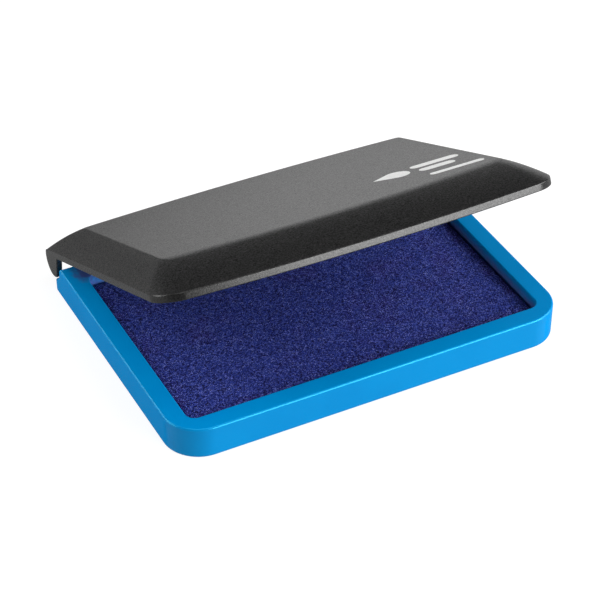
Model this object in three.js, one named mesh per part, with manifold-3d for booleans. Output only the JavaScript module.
// An ink pad in a plastic case: a blue tray that holds a cloth-covered felt pad, and a hipped lid that turns on two
// pins at the back. Millimetres, +Z up, the front of the case towards -Y and the hinge along the back.
// The origin is on the underside, midway between the sides and midway along the raised part of the tray.
import * as THREE from "three";
import { mergeVertices } from "three/addons/utils/BufferGeometryUtils.js";
import Module from "manifold-3d";

const wasm = await Module();
wasm.setup();

// ---- driving dimensions ----
const GAP = 0.3; // clearance between touching pieces
const PAST = 1; // how far a cutting shape runs past the face that it cuts
const SMALLEST_CORNER = 0.3;

const TRAY = {
  halfWidth: 49.85,
  front: -34.4,
  back: 38, // the low ledge behind the raised part
  height: 8.1,
  frontCorner: 8.8,
  backCorner: 1.2,
  draft: 0.3, // the foot is this much smaller all round than the widest line
  topRound: 0.7,
  footRound: 0.8,
  floor: 1.5,
};
const RIM = { side: 4.8, back: 28.9, corner: 2.4, lip: 0.45 };
const CHANNEL = {
  outerWall: 1.5,
  innerWall: 1.4,
  roof: 1.5,
  back: 32.8,
  ribs: 4, // each way, evenly spread over these two lengths
  ribWidth: 1.2,
  spreadX: 89.7,
  spreadY: 57.1,
};

const HINGE = { y: 39.4, z: 7.9, trough: 5.2, openAngle: 25 }; // axis along X; the lid is modelled part open
const KNUCKLE = { inner: 41.6, outer: 44.8, radius: 2.2, bore: 1.0, webStart: 112, webEnd: -108, webFoot: 3.0, root: 0.4 };
const PIN = { inner: 41.2, outer: 49.0, radius: 0.85 };

// The lid is described closed, from the hinge axis.
const LID = {
  halfWidth: 49.8,
  front: -73.95,
  back: 2.3,
  rimBottom: 0.5,
  rimHeight: 1.75,
  height: 6.55,
  crown: 0.4, // how far the middle of each slope stands proud of its chord
  frontCorner: 6.2,
  backCorner: 1.0,
  frontBow: 3.6,
  backBow: 1.5,
  wall: 1.5,
  roofInset: 0.4, // the inside edge of the flat top lies this far within the outside one
  shoulderDrop: 0.9,
};
const TOP = { side: 7.1, front: 12.5, back: 11, frontCorner: 2.6, backCorner: 1.0, backBow: 2.4 };
const EAR = {
  y: 0.2,
  z: -0.7,
  radius: 4.0,
  tipY: -1.0,
  tipZ: -4.3,
  frontY: -4.5,
  lean: 0.1, // the front edge slopes back this much as it comes down
  root: 0.6, // the flap runs this far up into the rim at its front
  belowRim: 0.3, // its round end stops this far below the top of the rim
  thickness: 1.5,
  socket: 1.0,
};
const SLOT = { side: 0.4, reach: 7, past: 0.5, topAngle: 72, clearance: 0.4 };

const PAD = { side: 0.5, top: 5.8, cloth: 0.5, carrier: 0.6, corner: 1.9, edgeRound: 0.4 };

const ARC_STEPS = 8; // steps round each corner of an outline
const EDGE_STEPS = 14; // steps along the front and the back edge of an outline
const ROUND_STEPS = 3; // levels in a rounded edge
const SLOPE_STEPS = 4; // levels from the lid's rim to its flat top
const FACETS = { trough: 96, slot: 48, bore: 24 }; // flats round each kind of barrel

const BLUE = [0x0a8fd6, 0.32];
const GREY = [0x4c4c4c, 0.55];
const WHITE = [0xd9d9d4, 0.5];
const FELT = [0x2c2a70, 1];
const CLOTH = [0x28247c, 0.95];
const STEEL = [0xb8b8b8, 0.3, 1];

// ---- solids ----
function solid(geometry) {
  const bare = geometry.clone();
  bare.deleteAttribute("normal");
  bare.deleteAttribute("uv");
  const merged = mergeVertices(bare, 1e-4);
  return new wasm.Manifold(
    new wasm.Mesh({
      numProp: 3,
      vertProperties: new Float32Array(merged.attributes.position.array),
      triVerts: new Uint32Array(merged.index.array),
    }),
  );
}

function meshOf(name, body, [colour, roughness, metalness = 0]) {
  const { vertProperties, triVerts } = body.getMesh();
  const geometry = new THREE.BufferGeometry();
  geometry.setAttribute("position", new THREE.BufferAttribute(vertProperties, 3));
  geometry.setIndex(new THREE.BufferAttribute(triVerts, 1));
  geometry.computeVertexNormals();
  const mesh = new THREE.Mesh(geometry, new THREE.MeshStandardMaterial({ color: colour, roughness, metalness }));
  mesh.name = name;
  return mesh;
}

// A rectangle with round corners and, if asked, front and back edges that bow outwards; anticlockwise from above.
function outline({ halfWidth, front, back, frontCorner, backCorner, frontBow = 0, backBow = 0 }) {
  const corners = [
    { x: halfWidth - frontCorner, y: front + frontCorner, r: frontCorner, from: -Math.PI / 2 },
    { x: halfWidth - backCorner, y: back - backCorner, r: backCorner, from: 0 },
    { x: -halfWidth + backCorner, y: back - backCorner, r: backCorner, from: Math.PI / 2 },
    { x: -halfWidth + frontCorner, y: front + frontCorner, r: frontCorner, from: Math.PI },
  ];
  const points = [];
  corners.forEach(({ x, y, r, from }, corner) => {
    for (let step = 0; step <= ARC_STEPS; step++) {
      const angle = from + (step / ARC_STEPS) * (Math.PI / 2);
      points.push(new THREE.Vector2(x + r * Math.cos(angle), y + r * Math.sin(angle)));
    }
    const next = corners[(corner + 1) % 4];
    if (corner % 2 === 0) return; // the sides are straight
    const start = points[points.length - 1];
    const end = new THREE.Vector2(next.x, start.y);
    for (let step = 1; step < EDGE_STEPS; step++) points.push(start.clone().lerp(end, step / EDGE_STEPS));
  });
  for (const point of points) {
    const bow = 1 - (point.x / halfWidth) ** 2;
    const share = (back - point.y) / (back - front);
    point.y += bow * (backBow * (1 - share) - frontBow * share);
  }
  return points;
}

// A closed solid through outlines of the same number of points, from the lowest level to the highest.
function loft(levels) {
  const count = levels[0].points.length;
  const positions = levels.flatMap(({ points, z }) => points.flatMap((p) => [p.x, p.y, z]));
  const faces = [];
  for (let level = 0; level + 1 < levels.length; level++) {
    for (let i = 0; i < count; i++) {
      const a = level * count + i;
      const b = level * count + ((i + 1) % count);
      faces.push(a, b, b + count, a, b + count, a + count);
    }
  }
  const last = (levels.length - 1) * count;
  for (const [a, b, c] of THREE.ShapeUtils.triangulateShape(levels[0].points, [])) faces.push(c, b, a);
  for (const [a, b, c] of THREE.ShapeUtils.triangulateShape(levels.at(-1).points, [])) {
    faces.push(last + a, last + b, last + c);
  }
  const geometry = new THREE.BufferGeometry();
  geometry.setAttribute("position", new THREE.Float32BufferAttribute(positions, 3));
  geometry.setIndex(faces);
  return solid(geometry);
}

// A cylinder along X about the line y, z.
function barrel(radius, fromX, toX, y, z, sides = 48) {
  const geometry = new THREE.CylinderGeometry(radius, radius, toX - fromX, sides);
  geometry.rotateZ(Math.PI / 2);
  geometry.translate((fromX + toX) / 2, y, z);
  return solid(geometry);
}

// A flat shape drawn in y and z, given thickness from fromX to toX.
function plate(shape, fromX, toX) {
  const geometry = new THREE.ExtrudeGeometry(shape, { depth: toX - fromX, bevelEnabled: false, curveSegments: 24 });
  geometry.applyMatrix4(
    new THREE.Matrix4().makeBasis(
      new THREE.Vector3(0, 1, 0),
      new THREE.Vector3(0, 0, 1),
      new THREE.Vector3(1, 0, 0),
    ),
  );
  geometry.translate(fromX, 0, 0);
  return solid(geometry);
}

function block(sizeX, sizeY, sizeZ, x, y, z) {
  return solid(new THREE.BoxGeometry(sizeX, sizeY, sizeZ).translate(x, y, z));
}

// ---- tray ----
function trayOutline(inset) {
  return outline({
    halfWidth: TRAY.halfWidth - inset,
    front: TRAY.front + inset,
    back: TRAY.back - inset,
    frontCorner: TRAY.frontCorner - inset,
    backCorner: Math.max(TRAY.backCorner - inset, SMALLEST_CORNER),
  });
}

function recessOutline(grow) {
  return outline({
    halfWidth: TRAY.halfWidth - RIM.side + grow,
    front: TRAY.front + RIM.side - grow,
    back: RIM.back + grow,
    frontCorner: RIM.corner + grow,
    backCorner: RIM.corner + grow,
  });
}

// Quarter-round steps: how far in and how far up, both from 0 to radius.
function quarterRound(radius) {
  return Array.from({ length: ROUND_STEPS + 1 }, (_, step) => {
    const angle = (step / ROUND_STEPS) * (Math.PI / 2);
    return { across: radius * (1 - Math.cos(angle)), up: radius * Math.sin(angle) };
  });
}

function trayBody() {
  const foot = quarterRound(TRAY.footRound).reverse();
  const top = quarterRound(TRAY.topRound);
  return loft([
    ...foot.map(({ across, up }) => ({
      points: trayOutline(TRAY.draft + across),
      z: TRAY.footRound - up,
    })),
    ...top.map(({ across, up }) => ({
      points: trayOutline(across),
      z: TRAY.height - TRAY.topRound + up,
    })),
  ]);
}

function trayRecess() {
  const lip = quarterRound(RIM.lip);
  return loft([
    { points: recessOutline(0), z: TRAY.floor },
    ...lip.map(({ across, up }) => ({ points: recessOutline(across), z: TRAY.height - RIM.lip + up })),
    { points: recessOutline(RIM.lip), z: TRAY.height + PAST },
  ]);
}

// The hollow in the underside of the rim, crossed by ribs.
function rimChannel() {
  const roof = TRAY.height - CHANNEL.roof;
  const outer = outline({
    halfWidth: TRAY.halfWidth - CHANNEL.outerWall,
    front: TRAY.front + CHANNEL.outerWall,
    back: CHANNEL.back,
    frontCorner: TRAY.frontCorner - CHANNEL.outerWall,
    backCorner: TRAY.backCorner,
  });
  const inner = recessOutline(CHANNEL.innerWall);
  let channel = loft([
    { points: outer, z: -PAST },
    { points: outer, z: roof },
  ]).subtract(
    loft([
      { points: inner, z: -2 * PAST },
      { points: inner, z: TRAY.height },
    ]),
  );
  const length = 2 * TRAY.halfWidth;
  const depth = 2 * TRAY.height;
  for (let rib = 0; rib < CHANNEL.ribs; rib++) {
    const along = (rib + 0.5) / CHANNEL.ribs - 0.5;
    channel = channel.subtract(block(CHANNEL.ribWidth, length, depth, along * CHANNEL.spreadX, 0, 0));
    channel = channel.subtract(block(length, CHANNEL.ribWidth, depth, 0, along * CHANNEL.spreadY, 0));
  }
  return channel;
}

// The outline of a knuckle: a barrel round the pin, with a web that is rooted in the wall and ledge of the trough.
function knuckleShape() {
  const { radius, webStart, webEnd, webFoot, root } = KNUCKLE;
  const { y, z, trough } = HINGE;
  const shape = new THREE.Shape();
  shape.moveTo(y - trough - root, z);
  shape.absarc(y, z, radius, THREE.MathUtils.degToRad(webStart), THREE.MathUtils.degToRad(webEnd), true);
  shape.lineTo(y - webFoot, z - trough - root);
  shape.closePath();
  return shape;
}

function makeTray() {
  const { y, z, trough } = HINGE;
  let tray = trayBody();
  tray = tray.subtract(trayRecess()).subtract(rimChannel());
  tray = tray.subtract(barrel(trough, -TRAY.halfWidth - PAST, TRAY.halfWidth + PAST, y, z, FACETS.trough));
  for (const side of [-1, 1]) {
    const [from, to] = [side * KNUCKLE.inner, side * KNUCKLE.outer].sort((a, b) => a - b);
    tray = tray.add(plate(knuckleShape(), from, to));
    tray = tray.subtract(barrel(KNUCKLE.bore, from - PAST, to + PAST, y, z, FACETS.bore));
  }
  return meshOf("base_tray", tray, BLUE);
}

// ---- pad ----
function padOutline(inset) {
  return outline({
    halfWidth: TRAY.halfWidth - RIM.side - PAD.side - inset,
    front: TRAY.front + RIM.side + PAD.side + inset,
    back: RIM.back - PAD.side - inset,
    frontCorner: PAD.corner - inset,
    backCorner: PAD.corner - inset,
  });
}

function slab(inset, from, to) {
  return loft([
    { points: padOutline(inset), z: from },
    { points: padOutline(inset), z: to },
  ]);
}

const carrierBottom = TRAY.floor + GAP;
const carrierTop = carrierBottom + PAD.carrier;
const feltInset = PAD.cloth + GAP;

function makeCarrier() {
  return meshOf("pad_carrier", slab(0, carrierBottom, carrierTop), WHITE);
}

function makeFelt() {
  return meshOf("felt_core", slab(feltInset, carrierTop + GAP, PAD.top - PAD.cloth - GAP), FELT);
}

// The cloth lies over the felt and comes down its sides to the carrier.
function makeCloth() {
  const edge = quarterRound(PAD.edgeRound);
  const cloth = loft([
    { points: padOutline(0), z: carrierTop + GAP },
    ...edge.map(({ across, up }) => ({ points: padOutline(across), z: PAD.top - PAD.edgeRound + up })),
  ]);
  return meshOf("pad_cloth", cloth.subtract(slab(PAD.cloth, 0, PAD.top - PAD.cloth)), CLOTH);
}

// ---- lid ----
function lidRim(inset) {
  return outline({
    halfWidth: LID.halfWidth - inset,
    front: LID.front + inset,
    back: LID.back - inset,
    frontCorner: LID.frontCorner - inset,
    backCorner: Math.max(LID.backCorner - inset, SMALLEST_CORNER),
    frontBow: LID.frontBow,
    backBow: LID.backBow,
  });
}

function lidTop(inset) {
  return outline({
    halfWidth: LID.halfWidth - TOP.side - inset,
    front: LID.front + TOP.front + inset,
    back: LID.back - TOP.back - inset,
    frontCorner: TOP.frontCorner - inset,
    backCorner: TOP.backCorner - inset,
    frontBow: LID.frontBow,
    backBow: TOP.backBow,
  });
}

// The levels of the four sloping faces, from the rim to the flat top, with their slight crown.
function slopes(rim, rimZ, top, topZ) {
  return Array.from({ length: SLOPE_STEPS + 1 }, (_, step) => {
    const share = step / SLOPE_STEPS;
    return {
      points: rim.map((point, i) => point.clone().lerp(top[i], share)),
      z: rimZ + (topZ - rimZ) * share + LID.crown * 4 * share * (1 - share),
    };
  });
}

// The flap at each back corner: a straight front edge, then a round end that clears the trough as the lid turns.
function earShape() {
  const { y, z, radius, tipY, tipZ, frontY, lean, root, belowRim } = EAR;
  const shape = new THREE.Shape();
  const rootZ = LID.rimBottom + root;
  const backAngle = Math.asin((LID.rimBottom + LID.rimHeight - belowRim - z) / radius);
  const tipAngle = Math.atan2(tipZ - z, tipY - y);
  shape.moveTo(frontY, rootZ);
  shape.lineTo(frontY + lean, LID.rimBottom);
  shape.absarc(y, z, radius, tipAngle, backAngle, false);
  shape.closePath();
  return shape;
}

// The opening in the lid's back edge that lets a knuckle's web through at every angle.
function slotShape() {
  const angle = THREE.MathUtils.degToRad(SLOT.topAngle);
  const shape = new THREE.Shape();
  shape.moveTo(-SLOT.past, -SLOT.reach);
  shape.lineTo(SLOT.reach, -SLOT.reach);
  shape.lineTo(SLOT.reach, SLOT.reach);
  shape.lineTo(SLOT.reach * Math.cos(angle), SLOT.reach * Math.sin(angle));
  shape.lineTo(-SLOT.past, 0);
  shape.closePath();
  return shape;
}

function makeLid() {
  const { rimBottom, rimHeight, height, wall, halfWidth } = LID;
  const outside = loft([
    { points: lidRim(0), z: rimBottom },
    ...slopes(lidRim(0), rimBottom + rimHeight, lidTop(0), rimBottom + height),
  ]);
  const inside = loft([
    { points: lidRim(wall), z: rimBottom - PAST },
    ...slopes(
      lidRim(wall),
      rimBottom + rimHeight - LID.shoulderDrop,
      lidTop(LID.roofInset),
      rimBottom + height - wall,
    ),
  ]);
  let lid = outside.subtract(inside);
  for (const side of [-1, 1]) {
    const [earFrom, earTo] = [side * (halfWidth - EAR.thickness), side * halfWidth].sort((a, b) => a - b);
    const [slotFrom, slotTo] = [side * KNUCKLE.inner, side * KNUCKLE.outer].sort((a, b) => a - b);
    const socketEnds = [side * (halfWidth - EAR.thickness - PAST), side * (PIN.outer + GAP)];
    const [socketFrom, socketTo] = socketEnds.sort((a, b) => a - b);
    lid = lid.add(plate(earShape(), earFrom, earTo));
    lid = lid.subtract(barrel(EAR.socket, socketFrom, socketTo, 0, 0, FACETS.bore));
    lid = lid.subtract(plate(slotShape(), slotFrom - SLOT.side, slotTo + SLOT.side));
    lid = lid.subtract(
      barrel(KNUCKLE.radius + SLOT.clearance, slotFrom - SLOT.side, slotTo + SLOT.side, 0, 0, FACETS.slot),
    );
  }
  return meshOf("lid_shell", lid, GREY);
}

// ---- pins ----
function makePin(name, side) {
  const { y, z } = HINGE;
  const [from, to] = [side * PIN.inner, side * PIN.outer].sort((a, b) => a - b);
  return meshOf(name, barrel(PIN.radius, from, to, y, z, FACETS.bore), STEEL);
}

// ---- assembly ----
const lidHinge = new THREE.Group();
lidHinge.position.set(0, HINGE.y, HINGE.z);
lidHinge.rotation.x = THREE.MathUtils.degToRad(-HINGE.openAngle);
lidHinge.add(makeLid());

const inkPad = new THREE.Group();
inkPad.add(makeTray(), makeCarrier(), makeFelt(), makeCloth());
inkPad.add(makePin("hinge_pin_left", -1), makePin("hinge_pin_right", 1), lidHinge);

export default inkPad;
